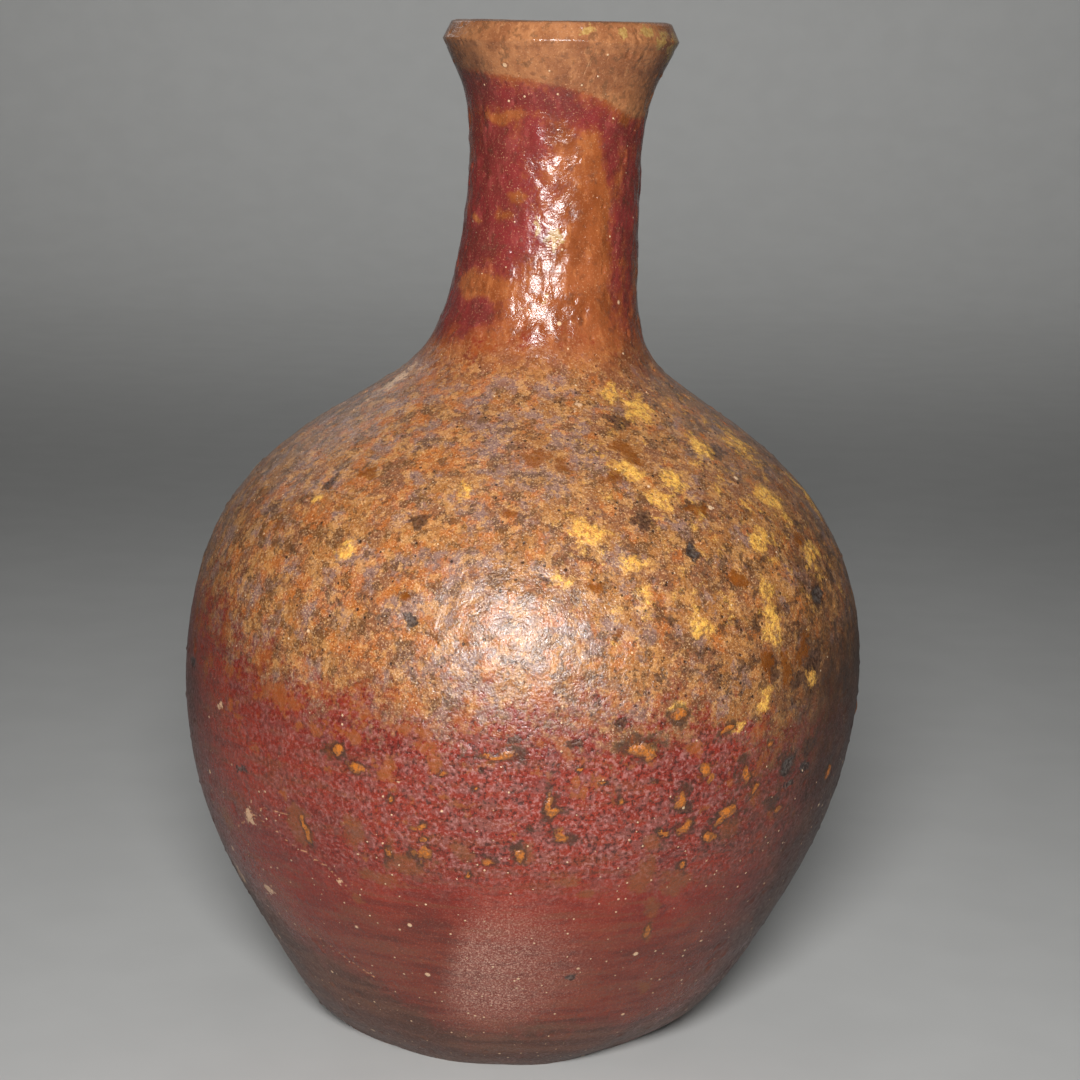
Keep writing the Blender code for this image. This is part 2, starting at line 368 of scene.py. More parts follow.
# Olive-brown smears on the red belly, as patches.
OCHRE_SMEARS = [
    (-17, 62, 8, 3.5), (-22, 58, 6, 3), (-26, 69, 4, 4), (-38, 67, 5, 6), (-8, 66, 4, 3), (2, 67, 3, 3),
    (22, 59, 4, 6), (28, 57, 5, 5), (25, 50, 3, 4), (26, 43, 2, 4), (8, 60, 4, 2), (-28, 51, 2.4, 1.6),
    (37, 68, 3, 5), (22, 68, 3, 3), (30, 26, 5, 3), (-20, 66, 2.4, 4), (13, 56, 5, 2), (-60, 60, 5, 3),
    (95, 60, 8, 4), (-130, 58, 9, 4), (170, 62, 9, 4),
]
# How far a cover field falls where its mark has no place.
COVER_DROP = 0.3
# Heights where the ash of the shoulder ends and where the neck's own colours start.
ASH_TOP_MM, NECK_START_MM = 176, 171


def line_distance(azimuth, height, line):
    """Millimetres to a line of (azimuth, height) points, measured on a circle of the belly's radius."""
    far_away = 99.0
    across = azimuth * math.radians(1) * BELLY_RADIUS_MM
    best = np.full(azimuth.shape, far_away)
    for (az0, z0), (az1, z1) in zip(line, line[1:]):
        x0, x1 = (az * math.radians(1) * BELLY_RADIUS_MM for az in (az0, az1))
        t = ((across - x0) * (x1 - x0) + (height - z0) * (z1 - z0)) / ((x1 - x0) ** 2 + (z1 - z0) ** 2)
        t = np.clip(t, 0, 1)
        best = np.minimum(best, np.hypot(across - x0 - t * (x1 - x0), height - z0 - t * (z1 - z0)))
    return best


def kiln_marks(points, azimuth, height):
    """Every mark's field over the skin, each read by the stoneware material under the same name. The cover
    fields are near 0 where a mark covers half of the surface and fall by 0.1 or so to leave hardly any."""
    drift = 5 * noise(points, 22 * MM, 11, 3)
    girth = np.maximum(np.hypot(points[..., 0], points[..., 1]) / MM, 20)
    wander = 1.5 * noise(points, 9 * MM, 21, 3) + 0.7 * noise(points, 2.5 * MM, 23, 2)
    wander_az = azimuth + np.degrees(wander / girth)
    wander_z = height + 1.1 * noise(points, 8 * MM, 25, 3) + 0.6 * noise(points, 2.5 * MM, 27, 2)

    def ragged_patches(places):
        return patches(wander_az, wander_z, places)

    def around(values):
        return turn_value(azimuth, values)

    # The ash of the shoulder, and what lies in it.
    above_ash = height - around(ASH_EDGE) + drift
    up_neck = smooth(height, 166, 182)
    shoulder = smooth(height, 94, 116) * (1 - smooth(height, 160, 172))
    smeared = smooth(height, 84, 104) * (1 - 0.5 * smooth(height, 128, 150))
    marks = {}
    marks["ash"] = np.minimum(above_ash, 1.3 * (ASH_TOP_MM - height) + drift)
    marks["gold"] = np.maximum(
        0.28 * ragged_patches(YELLOW_ASH) - 0.01,
        around(GOLD_COVER) - COVER_DROP * (1 - shoulder),
    )
    marks["amber"] = np.maximum(
        0.3 * ragged_patches(AMBER_GLASS),
        around(AMBER_COVER) - COVER_DROP * (1 - shoulder),
    )
    marks["rust"] = around(RUST_COVER) + 0.006 * np.clip(above_ash + 6, -60, 0) - 0.1 * up_neck
    marks["mauve"] = around(MAUVE_COVER) - 0.25 * up_neck
    marks["dark"] = np.maximum(
        0.34 * ragged_patches(DARK_SMEARS),
        around(DARK_COVER) - COVER_DROP * (1 - smeared),
    )
    marks["speckle"] = around(SPECKLE) * smooth(above_ash, -6, 8) * (1 - 0.8 * up_neck)

    # The red belly.
    red_band = smooth(height, 40, 56) * (1 - smooth(height, 76, 90))
    beyond_side = azimuth - np.interp(height, *zip(*FLOOR_REFLECTION_SIDE))
    lines = [line_distance(azimuth, height + 0.3 * wander, line) for line in SCRATCHES]
    furthest_used = 3.0
    marks["ochre"] = np.maximum(0.35 * ragged_patches(OCHRE_SMEARS), -0.14 - 0.2 * (1 - red_band))
    marks["slag"] = ragged_patches(SLAG_LUMPS)
    marks["floor_reflection"] = smooth(ragged_patches(FLOOR_REFLECTION_PATCHES), -0.7, 1.1) * smooth(beyond_side, -2, 4)
    marks["scar"] = ragged_patches(SCARS)
    marks["scuff_and_reflection"] = ragged_patches(SCUFFS_AND_REFLECTION)
    marks["scratch"] = np.minimum(furthest_used, np.min(lines, axis=0))
    marks["peel"] = smooth(height + 0.5 * drift, 48, 68) * (1 - smooth(above_ash, 2, 20)) * around(PEEL)
    marks["grit"] = 1 - 0.75 * smooth(height + drift, 66, 84)

    # The darker clay low down, the bare heel, and painted shade on the sides and back.
    marks["low"] = 1 - smooth(height + 0.8 * drift, 36, 56)
    marks["bare"] = 1 - smooth(height + 0.8 * drift - around(BARE_TOP), -8, 8)
    marks["side_shade"] = (
        around(PAINTED_SIDE_SHADE) * smooth(height + drift, 2, 40) * (1 - 0.65 * smooth(height, 96, 118))
        + 0.02 * drift
    )

    # The neck and lip, with a band of crimson just under the red's top edge.
    marks["neck"] = height - NECK_START_MM + 0.8 * drift
    marks["tan"] = height - around(NECK_RED_TOP) + 0.15 * drift
    top_band = 0.8 - np.abs(marks["tan"] + 5) / 7
    marks["crimson"] = (
        np.maximum(patches(azimuth, height + 0.5 * drift, NECK_CRIMSON), top_band)
        - 1.25 * np.maximum(ragged_patches(NECK_ORANGE), 0)
        + 0.05 * drift
    )
    marks["lip_yellow"] = ragged_patches(LIP_YELLOW)
    marks["shade"] = around(LIP_SHADE) * smooth(height, 226, 238) * (1 - 0.6 * smooth(height, 243, 247))
    return marks


# ---------------------------------------------------------------- relief

RING_PITCH_MM = 7.2
GROOVE_HEIGHT_MM, GROOVE_WIDTH_MM = 243.6, 0.55
# The knife-trimmed flats and corners around the foot: (azimuth, millimetres outwards).
FOOT_FLATS = [
    (-180, 0.4), (-150, -0.8), (-120, 0.5), (-92, -0.9), (-66, 0.3), (-40, -1.3), (-16, 0.6), (0, 0.0),
    (16, 0.5), (40, -1.4), (66, 0.6), (90, -0.8), (118, 0.4), (150, -0.7),
]


def relief(points, azimuth, height, marks):
    """How far the fired surface stands off the turned form, in metres."""

    def lumps(strength, size_mm, seed, octaves=1):
        return strength * noise(points, size_mm * MM, seed, octaves)

    belly = smooth(height, 8, 30) * (1 - smooth(height, 150, 168))
    neck = smooth(height, 166, 178) * (1 - smooth(height, 226, 238))
    ashy = smooth(marks["ash"], -2, 8)

    # The form's slow unevenness, and throwing rings that come and go around the belly.
    lift = lumps(0.35, 55, seed=1) * smooth(height, 0, 20)
    turns = height / RING_PITCH_MM * 2 * math.pi + azimuth * math.radians(1)
    rings = np.sin(turns + lumps(1.5, 30, seed=2))
    lift = lift + 0.07 * rings * (0.5 + lumps(0.5, 40, seed=3)) * belly

    # Lumps of the clay, the pebbled skin, the ash crust and the neck.
    lift = lift + lumps(0.05, 6, seed=4, octaves=2)
    lift = lift + lumps(0.10, 2.8, seed=5, octaves=2) * marks["peel"]
    lift = lift + lumps(0.12, 3.2, seed=6, octaves=2) * ashy
    upright = points * np.array([1, 1, 0.8])
    lift = lift + 0.25 * noise(upright, 3.6 * MM, 7, 2) * neck

    # Slag stands in a shallow moat and yellow ash stands proud, while scars and scratches are sunk.
    slag = marks["slag"]
    lift = lift + 0.30 * smooth(slag, -0.1, 0.8)
    lift = lift - 0.10 * smooth(slag, -1.1, -0.2) * (slag < 0.1)
    lift = lift + 0.16 * smooth(marks["gold"], 0, 0.3) * ashy
    lift = lift - 0.35 * smooth(marks["scar"], 0.1, 0.9)
    lift = lift - 0.12 * smooth(0.8 - marks["scratch"], 0, 0.8)

    # Grit that stands out of the clay, and pits where grit has dropped out.
    grit = noise(points, 2.2 * MM, 8)
    lift = lift + (0.25 - 0.15 * neck) * smooth(grit, 0.72, 0.95)
    lift = lift - 0.3 * smooth(-grit, 0.74, 0.95)

    # The uneven groove under the rim.
    groove = np.exp(-(((height - GROOVE_HEIGHT_MM) / GROOVE_WIDTH_MM) ** 2))
    lift = lift - 0.16 * groove * (0.4 + 0.6 * smooth(noise(points, 14 * MM, 9), -0.6, 0.5))
    return lift * MM


def foot_trim(azimuth, height, points):
    """The knife-trimmed heel: flats and corners around the foot's edge, fading out up the wall."""
    flats = turn_value(azimuth, FOOT_FLATS) + 0.5 * noise(points, 12 * MM, 12, 2)
    return flats * (1 - smooth(height, 1, 17)) * MM


# ---------------------------------------------------------------- skin and pieces

# How far the relief may rise over the CAD's rim.
RIM_RISE = 0.2 * MM
ANGLES = np.arange(COLUMNS) * 2 * math.pi / COLUMNS - math.pi
OUTLINE = natural_spline([corner for corner in OUTER_CORNERS if corner[1] <= LIP_EDGE[1]])
OVER_RIM = [corner for corner in OUTER_CORNERS if corner[1] > LIP_EDGE[1]]
BEVEL = np.array([LIP_EDGE, OVER_RIM[0]])
INNER_LINE = natural_spline(OVER_RIM + INNER_CORNERS[::-1])


def join_corner(upper, face):
    """Where a member meets the one below it, on the outer face (0) or the inner face (1)."""
    below = MEMBERS[MEMBERS.index(upper) - 1]
    return tuple((p + q) / 2 for p, q in zip(FACES[below][face][-1], FACES[upper][face][0]))


def member_rows(name):
    """A member's shown rows and its hidden rows, as (radius, height), in order around its section."""
    spacing = {"neck": NECK_ROW, "lip": LIP_ROW}.get(name, BODY_ROW)
    low, in_low = 0, len(INNER_LINE) - 1
    if name != "foot_slab":
        low, in_low = nearest(OUTLINE, join_corner(name, 0)), nearest(INNER_LINE, join_corner(name, 1))
    if name == "lip":
        flare = rows_between(OUTLINE, low, len(OUTLINE) - 1, spacing)
        bevel = rows_between(BEVEL, 0, 1, spacing)
        over = rows_between(INNER_LINE, 0, in_low, spacing)
        return np.concatenate([flare, bevel[1:], over[1:]]), over[:0]
    above = MEMBERS[MEMBERS.index(name) + 1]
    high, in_high = nearest(OUTLINE, join_corner(above, 0)), nearest(INNER_LINE, join_corner(above, 1))
    if name == "foot_slab":
        in_high = nearest(INNER_LINE, FACES[name][1][-1])
    return rows_between(OUTLINE, low, high, spacing), rows_between(INNER_LINE, in_high, in_low, HIDDEN_ROW)


def turned(rows):
    """The rows of (radius, height) turned about the centre line, as a grid of points."""
    radius, height = rows[:, 0, None], rows[:, 1, None]
    x = centre_shift(height) + radius * np.sin(ANGLES)
    y = -radius * np.cos(ANGLES)
    return np.stack([x, y, np.broadcast_to(height, x.shape)], axis=-1)


def grid_normals(points):
    """Unit normals of a grid of points that closes on itself sideways."""
    along = np.roll(points, -1, axis=1) - np.roll(points, 1, axis=1)
    normals = np.cross(along, np.gradient(points, axis=0))
    return normals / np.linalg.norm(normals, axis=-1, keepdims=True)


def marked(points, inside):
    """The kiln marks of a grid of points, with how far inside the bottle each row lies, from 0 to 1."""
    azimuth = np.broadcast_to(np.degrees(ANGLES), points.shape[:2])
    marks = kiln_marks(points, azimuth, points[..., 2] / MM)
    marks["inside"] = np.broadcast_to(np.reshape(inside, (-1, 1)), points.shape[:2])
    return marks


def fired_skin(rows):
    """The shown skin from foot edge to mouth: its points, normals and kiln marks, with the relief laid on."""
    base = turned(rows)
    rim = int(np.argmax(rows[:, 1]))
    inside = np.zeros(len(rows))
    inside[rim:] = smooth((rows[rim, 1] - rows[rim:, 1]) / MM, 1.5, 6)
    marks = marked(base, inside)
    azimuth = np.broadcast_to(np.degrees(ANGLES), base.shape[:2])
    height = base[..., 2] / MM
    lift = relief(base, azimuth, height, marks) * (1 - marks["inside"]) * smooth(height, 0, 1.5)
    lift[-1] = 0
    sideways = np.stack([np.sin(ANGLES), -np.cos(ANGLES), 0 * ANGLES], axis=-1)
    trim = foot_trim(azimuth, height, base)
    points = base + grid_normals(base) * lift[..., None] + sideways * trim[..., None]
    points[..., 2] = np.clip(points[..., 2], 0, cad_bounds[1][2] + RIM_RISE)
    return points, grid_normals(points), marks


def grid_faces(rows, closed):
    """The quads of a grid of rows that closes sideways, and around its section too if closed."""
    index = np.arange(rows * COLUMNS).reshape(rows, COLUMNS)
    beside = np.roll(index, -1, axis=1)
    quads = np.stack([index, beside, np.roll(beside, -1, axis=0), np.roll(index, -1, axis=0)], axis=-1)
    return quads if closed else quads[:-1]


def piece_mesh(name, points, marks, seams, shown, normals, poles=()):
    """A closed mesh from a grid of points. Seams are rows with a sharp edge, and shown is the slice of rows
    whose normals are the whole skin's, so that no line shows where two members meet."""
    faces = [grid_faces(len(points), closed=not poles).reshape(-1, 4)]
    verts = points.reshape(-1, 3)
    if poles:
        first, last = np.arange(COLUMNS), np.arange(COLUMNS) + verts.shape[0] - COLUMNS
        bottom, top = len(verts), len(verts) + 1
        faces.append(np.stack([np.roll(first, -1), first, np.full(COLUMNS, bottom)], axis=-1))
        faces.append(np.stack([last, np.roll(last, -1), np.full(COLUMNS, top)], axis=-1))
        verts = np.concatenate([verts, np.array(poles)])
    corners = np.concatenate([face.ravel() for face in faces])
    sizes = np.concatenate([np.full(len(face), face.shape[1]) for face in faces])
    mesh = bpy.data.meshes.new(name)
    mesh.vertices.add(len(verts))
    mesh.vertices.foreach_set("co", verts.astype(np.float32).ravel())
    mesh.loops.add(len(corners))
    mesh.loops.foreach_set("vertex_index", corners.astype(np.int32))
    mesh.polygons.add(len(sizes))
    mesh.polygons.foreach_set("loop_start", (np.cumsum(sizes) - sizes).astype(np.int32))
    mesh.update(calc_edges=True)
    mesh.shade_smooth()
    for key, field in marks.items():
        values = np.full(len(verts), float(field[-1, 0]), np.float32)
        values[: field.size] = field.ravel()
        values[field.size : field.size + 1] = float(field[0, 0])
        mesh.attributes.new(key, "FLOAT", "POINT").data.foreach_set("value", values)
    ends = np.zeros(len(mesh.edges) * 2, np.int32)
    mesh.edges.foreach_get("vertices", ends)
    row = ends.reshape(-1, 2) // COLUMNS
    sharp = (row[:, 0] == row[:, 1]) & np.isin(row[:, 0], seams)
    mesh.attributes.new("sharp_edge", "BOOLEAN", "EDGE").data.foreach_set("value", sharp)
    corner_normals = np.zeros((len(corners), 3))
    quad_rows = np.repeat(np.arange(len(faces[0])) // COLUMNS, 4)
    on_skin = (quad_rows >= shown.start) & (quad_rows < shown.stop - 1)
    skin_corner = corners[: len(quad_rows)][on_skin] - shown.start * COLUMNS
    corner_normals[: len(quad_rows)][on_skin] = normals.reshape(-1, 3)[skin_corner]
    mesh.normals_split_custom_set(corner_normals)
    return mesh


def underside_rows():
    """The slab's underside from its middle to its edge, as (radius, height)."""
    corners = [corner for corner in FACES["foot_slab"][1] if corner[1] < UNDERSIDE_TOP]
    corners = sorted(corners) + [(FOOT_RADIUS - 1.5 * MM, 0.0)]
    radii = np.arange(corners[0][0], corners[-1][0], HIDDEN_ROW)
    heights = np.interp(radii, *zip(*corners))
    return np.stack([radii, heights], axis=1)


def members():
    """Every member's name and mesh, cut from one skin so that neighbours meet without a step."""
    parts = {name: member_rows(name) for name in MEMBERS}
    shown = [parts[MEMBERS[0]][0]] + [parts[name][0][1:] for name in MEMBERS[1:]]
    points, normals, marks = fired_skin(np.concatenate(shown))
    start = 0
    for name in MEMBERS:
        count = len(parts[name][0])
        part = slice(start, start + count)
        start += count - 1
        hidden = parts[name][1]
        before = underside_rows() if name == "foot_slab" else hidden[:0]
        blocks = [turned(before), points[part], turned(hidden)]
        grid = np.concatenate(blocks)
        under = marked(blocks[0], np.zeros(len(before)))
        inner = marked(blocks[2], np.ones(len(hidden)))
        fields = {key: np.concatenate([under[key], marks[key][part], inner[key]]) for key in marks}
        first, last = len(before), len(before) + count - 1
        seams = [row for row in (0, first, last, last + 1, len(grid) - 1) if row < len(grid)]
        if name == "lip":
            seams = [0, len(grid) - 1]
        poles = ()
        if name == "foot_slab":
            seams = [first, last, last + 1]
            poles = ((centre_shift(0.0), 0.0, before[0][1]), (centre_shift(0.0), 0.0, hidden[-1][1]))
        yield name, piece_mesh(name, grid, fields, seams, slice(first, last + 1), normals[part], poles)


# ---------------------------------------------------------------- material

def srgb(red, green, blue):
    """A linear RGBA colour from sRGB values of 0 to 255."""
    values = [value / 255 for value in (red, green, blue)]
    return (*(v / 12.92 if v <= 0.04045 else ((v + 0.055) / 1.055) ** 2.4 for v in values), 1.0)


class Shader:
    """Short calls for building one material's node tree."""

    def __init__(self, name):
        self.material = bpy.data.materials.new(name)
        self.material.use_nodes = True
        self.tree = self.material.node_tree
        self.surface = self.tree.nodes["Principled BSDF"]
        self.place = self.tree.nodes.new("ShaderNodeTexCoord").outputs["Object"]

    def node(self, kind, values, **settings):
        node = self.tree.nodes.new(kind)
        for key, value in settings.items():
            setattr(node, key, value)
        for socket, value in values.items():
            self.give(node.inputs[socket], value)
        return node

    def give(self, socket, value):
        if isinstance(value, bpy.types.NodeSocket):
            self.tree.links.new(value, socket)
        else:
            socket.default_value = value

    def mark(self, name):
        return self.node("ShaderNodeAttribute", {}, attribute_name=name).outputs["Fac"]

    def math(self, operation, *values):
        return self.node("ShaderNodeMath", dict(enumerate(values)), operation=operation).outputs[0]

    def noise(self, size_mm, detail=2.0, roughness=0.5, seed=0, stretch=(1, 1, 1)):
        """Noise from 0 to 1 with features of about this size. Another seed gives another field."""
        shift = tuple(seed * step * MM for step in (37.3, 61.7, 83.9))
        mapping = {"Vector": self.place, "Location": shift, "Scale": stretch}
        place = self.node("ShaderNodeMapping", mapping).outputs[0]
        values = {"Vector": place, "Scale": 1 / (size_mm * MM), "Detail": detail, "Roughness": roughness}
        return self.node("ShaderNodeTexNoise", values).outputs["Fac"]

    def centred(self, noise, spread):
        """The noise moved to lie around 0, and spread."""
        return self.math("MULTIPLY_ADD", noise, spread, -0.5 * spread)

    def cells(self, size_mm):
        """Distance to the nearest of scattered points, in cells, and that point's random colour."""
        node = self.node("ShaderNodeTexVoronoi", {"Vector": self.place, "Scale": 1 / (size_mm * MM)})
        return node.outputs["Distance"], node.outputs["Color"]

    def fade(self, value, low, high, start=0.0, end=1.0):
        """Start where the value is at low, end where it is at high, and an even S between."""
        values = {"Value": value, "From Min": low, "From Max": high, "To Min": start, "To Max": end}
        return self.node("ShaderNodeMapRange", values, interpolation_type="SMOOTHSTEP").outputs["Result"]

    def mix(self, factor, first, second):
        node = self.node("ShaderNodeMix", {}, data_type="RGBA")
        for socket, value in zip((node.inputs[0], node.inputs[6], node.inputs[7]), (factor, first, second)):
            self.give(socket, value)
        return node.outputs[2]

    def specks(self, size_mm, radius, share, density):
        """Round specks scattered through the clay. Share is how many cells hold one where density is 1."""
        distance, colour = self.cells(size_mm)
        chance = self.node("ShaderNodeSeparateColor", {"Color": colour}).outputs
        picked = self.math("LESS_THAN", chance[0], self.math("MULTIPLY", density, share))
        spread = self.math("MULTIPLY_ADD", chance[1], radius * 0.7, radius * 0.3)
        spot = self.math("SUBTRACT", 1.0, self.math("DIVIDE", distance, spread))
        return self.math("MULTIPLY", self.fade(spot, 0.0, 0.35), picked)


def stoneware():
    """Iron-rich clay fired with wood: red where the flame was, ash-speckled above, bare at the foot."""
    s = Shader("wood_fired_stoneware")
    blotch, coarse = s.noise(24, 3), s.noise(9, 4, 0.6)
    medium, fine = s.noise(2.6, 3, 0.6), s.noise(0.9, 2, 0.6)
    grain = s.noise(0.38, 2, 0.6)
    pebble = s.noise(0.95, 3, 0.6, seed=5)
    streak = s.noise(4, 4, 0.6, seed=11, stretch=(0.2, 0.2, 1.5))
    ragged = s.math("ADD", s.centred(medium, 1.0), s.centred(fine, 0.8))
    cloudy = s.math("ADD", ragged, s.centred(s.noise(7, 3, 0.6, seed=1), 1.4))

    def edge(name, spread, low, high, border=ragged):
        """A kiln mark's field with its border broken up by noise."""
        return s.fade(s.math("MULTIPLY_ADD", border, spread, s.mark(name)), low, high)

    def cover(name, size_mm, seed, sharpness=0.05, detail=4, roughness=0.62):
        """Irregular islands, as many as the cover field of this name asks for."""
        islands = s.math("ADD", s.mark(name), s.centred(s.noise(size_mm, detail, roughness, seed), 1.0))
        islands = s.math("ADD", islands, s.centred(fine, 0.22))
        return s.fade(islands, 0.0, sharpness)

    def share(strength, mask, limit):
        return s.math("MULTIPLY", strength, s.math("MULTIPLY", mask, limit))

    def layer(under, noise, low, high, limit, colour):
        """A colour laid on as this noise goes from low to high, up to the limit."""
        return s.mix(s.fade(noise, low, high, 0, limit), under, colour)

    def over(under, mask, limit, colour):
        """A colour laid on where the mask is, up to the limit."""
        return s.mix(s.math("MULTIPLY", mask, limit), under, colour)

    # Red clay of the belly, streaked where it was turned and pebbled where the flame dried its skin.
    red = s.mix(s.fade(blotch, 0.36, 0.64), srgb(110, 34, 25), srgb(126, 42, 28))
    red = layer(red, streak, 0.5, 0.64, 0.6, srgb(104, 56, 36))
    red = layer(red, streak, 0.47, 0.35, 0.55, srgb(84, 32, 26))
    red = layer(red, coarse, 0.52, 0.68, 0.4, srgb(136, 54, 40))
    low_clay = s.mix(s.fade(streak, 0.42, 0.6), srgb(78, 42, 32), srgb(102, 56, 42))
    red = over(red, s.mark("low"), 0.55, low_clay)
    red = layer(red, grain, 0.56, 0.72, 0.35, srgb(172, 110, 90))
    peel = s.mark("peel")
    red = s.mix(share(peel, s.fade(medium, 0.45, 0.58), 0.6), red, srgb(118, 72, 66))
    # Pinkish flecks on the pebbles' tops are partly the clay's own mauve and partly a painted glint; the pits
    # between are darker.
    red = s.mix(share(peel, s.fade(pebble, 0.54, 0.63), 0.5), red, srgb(168, 116, 110))
    red = s.mix(share(peel, s.fade(pebble, 0.46, 0.38), 0.75), red, srgb(48, 26, 22))
    red = over(red, cover("ochre", 4.0, 2, 0.2, 7, 0.76), 0.55, srgb(116, 70, 38))
    # A painted reflection of the lit floor in front: pale pink, with paler painted glints.
    floor_reflection = s.mark("floor_reflection")
    red = s.mix(share(floor_reflection, s.fade(fine, 0.2, 0.65), 0.5), red, srgb(150, 100, 88))
    red = s.mix(share(floor_reflection, s.fade(grain, 0.48, 0.64), 0.4), red, srgb(222, 184, 162))

    # Ash on the shoulder: rust, tan, mauve and dark brown in clouds and specks.
    ash = s.mix(s.fade(coarse, 0.42, 0.58), srgb(144, 94, 50), srgb(122, 77, 50))
    ash = over(ash, cover("mauve", 8, 4, 0.1, 4, 0.6), 0.85, srgb(126, 97, 88))
    rust = cover("rust", 5, 3, 0.1, 4, 0.6)
    ash = over(ash, rust, 0.7, srgb(162, 90, 38))
    ash = layer(ash, s.noise(4.5, 4, 0.62, seed=12), 0.52, 0.58, 0.75, srgb(88, 58, 34))
    ash = layer(ash, s.noise(3.4, 4, 0.65, seed=13), 0.53, 0.6, 0.6, srgb(182, 129, 75))
    ash = layer(ash, fine, 0.56, 0.64, 0.3, srgb(200, 152, 106))
    ash = layer(ash, s.noise(1.2, 2, 0.6, seed=6), 0.56, 0.64, 0.5, srgb(78, 52, 42))
    ash = layer(ash, grain, 0.58, 0.68, 0.45, srgb(228, 192, 148))
    ash = layer(ash, grain, 0.43, 0.35, 0.5, srgb(50, 30, 20))
    dots = s.specks(1.6, 0.3, 0.5, s.mark("speckle"))
    ash = over(ash, dots, 0.85, srgb(40, 26, 20))
    ash_edge = edge("ash", 24, -9, 9, cloudy)
    body = s.mix(ash_edge, red, ash)
    below_ash = s.math("MULTIPLY", rust, s.math("SUBTRACT", 1.0, ash_edge))
    body = over(body, below_ash, 0.6, srgb(140, 78, 34))

    # The neck: orange-brown crossed by crimson, tan under the lip.
    upright = s.noise(2.4, 4, 0.65, seed=14, stretch=(1, 1, 0.4))
    neck = s.mix(s.fade(blotch, 0.4, 0.6), srgb(132, 70, 36), srgb(144, 80, 46))
    neck = layer(neck, coarse, 0.48, 0.62, 0.7, srgb(112, 56, 28))
    neck = layer(neck, upright, 0.52, 0.64, 0.5, srgb(164, 98, 56))
    crimson = s.mix(s.fade(coarse, 0.4, 0.62), srgb(112, 36, 40), srgb(98, 36, 36))
    crimson = layer(crimson, upright, 0.52, 0.66, 0.4, srgb(142, 62, 62))
    neck = over(neck, edge("crimson", 0.8, -0.35, 0.5, cloudy), 0.9, crimson)
    tan = s.mix(s.fade(coarse, 0.4, 0.62), srgb(152, 100, 64), srgb(128, 79, 50))
    tan = layer(tan, upright, 0.54, 0.64, 0.5, srgb(172, 118, 78))
    tan = layer(tan, medium, 0.46, 0.36, 0.6, srgb(98, 66, 44))
    neck = s.mix(edge("tan", 2.4, -0.7, 0.7), neck, tan)
    neck = layer(neck, medium, 0.55, 0.68, 0.35, srgb(84, 44, 28))
    neck = layer(neck, grain, 0.6, 0.74, 0.5, srgb(206, 156, 116))
    neck = over(neck, edge("shade", 0.4, 0.0, 1.0), 0.6, srgb(62, 40, 34))
    body = s.mix(edge("neck", 16, -9, 9, cloudy), body, neck)
    lip_yellow = s.mix(s.fade(fine, 0.42, 0.6), srgb(150, 120, 64), srgb(176, 144, 84))
    body = over(body, edge("lip_yellow", 2.2, 0.0, 0.5), 0.7, lip_yellow)

    # Bare clay low down, and painted shade on the sides and back, away from the front light.
    bare = s.mix(s.fade(streak, 0.42, 0.58), srgb(66, 47, 37), srgb(86, 61, 47))
    bare = layer(bare, grain, 0.55, 0.7, 0.5, srgb(146, 114, 98))
    bare_edge = edge("bare", 1.0, 0.0, 1.0, cloudy)
    body = over(body, bare_edge, 0.75, bare)
    side_shade_colour = s.mix(s.fade(coarse, 0.4, 0.65), srgb(46, 28, 19), srgb(66, 43, 28))
    side_shade_edge = edge("side_shade", 0.5, 0.05, 0.95)
    body = over(body, side_shade_edge, 0.88, side_shade_colour)

    # Dark smears, yellow ash and amber glass.
    dark_edge = cover("dark", 3.0, 7, 0.1, 5, 0.7)
    smear = s.mix(s.fade(fine, 0.4, 0.6), srgb(42, 28, 22), srgb(76, 52, 38))
    body = over(body, dark_edge, 0.8, smear)
    thin = s.fade(s.noise(1.4, 4, 0.7, seed=10), 0.4, 0.54, 0.25, 1)
    gold_edge = s.math("MULTIPLY", cover("gold", 4.6, 8, 0.16, 7, 0.76), thin)
    gold = s.mix(s.fade(fine, 0.42, 0.6), srgb(224, 172, 78), srgb(196, 138, 60))
    gold = layer(gold, grain, 0.54, 0.68, 0.6, srgb(232, 188, 106))
    gold = layer(gold, grain, 0.42, 0.33, 0.6, srgb(112, 68, 24))
    body = over(body, gold_edge, 0.9, gold)
    amber_edge = cover("amber", 2.4, 9, 0.12, 6, 0.72)
    body = over(body, amber_edge, 0.75, srgb(108, 56, 10))

    # Slag with a dark ring (its own rim and painted shade at its foot), scars, scuffs and scratches.
    slag = s.mark("slag")
    slag_rim_and_shade = s.fade(s.math("MULTIPLY_ADD", cloudy, 3.0, slag), -1.1, 0.2, 0, 0.8)
    body = s.mix(slag_rim_and_shade, body, srgb(58, 38, 26))
    slag_colour = s.mix(s.fade(fine, 0.42, 0.6), srgb(174, 100, 36), srgb(122, 74, 38))
    slag_edge = s.fade(s.math("MULTIPLY_ADD", ragged, 1.8, slag), -0.1, 0.3)
    body = over(body, slag_edge, 0.95, slag_colour)
    scar = s.mix(s.fade(fine, 0.4, 0.6), srgb(84, 76, 70), srgb(36, 28, 26))
    body = over(body, edge("scar", 1.8, 0.0, 0.4), 0.85, scar)
    # Pale scuffs, with a painted reflection of the room high on the left shoulder.
    body = over(body, edge("scuff_and_reflection", 3.2, 0.25, 0.6), 0.7, srgb(206, 168, 132))
    scratch = s.fade(s.math("MULTIPLY_ADD", ragged, 0.6, s.mark("scratch")), 0.3, 0.1, 0, 0.65)
    body = s.mix(scratch, body, srgb(198, 148, 106))

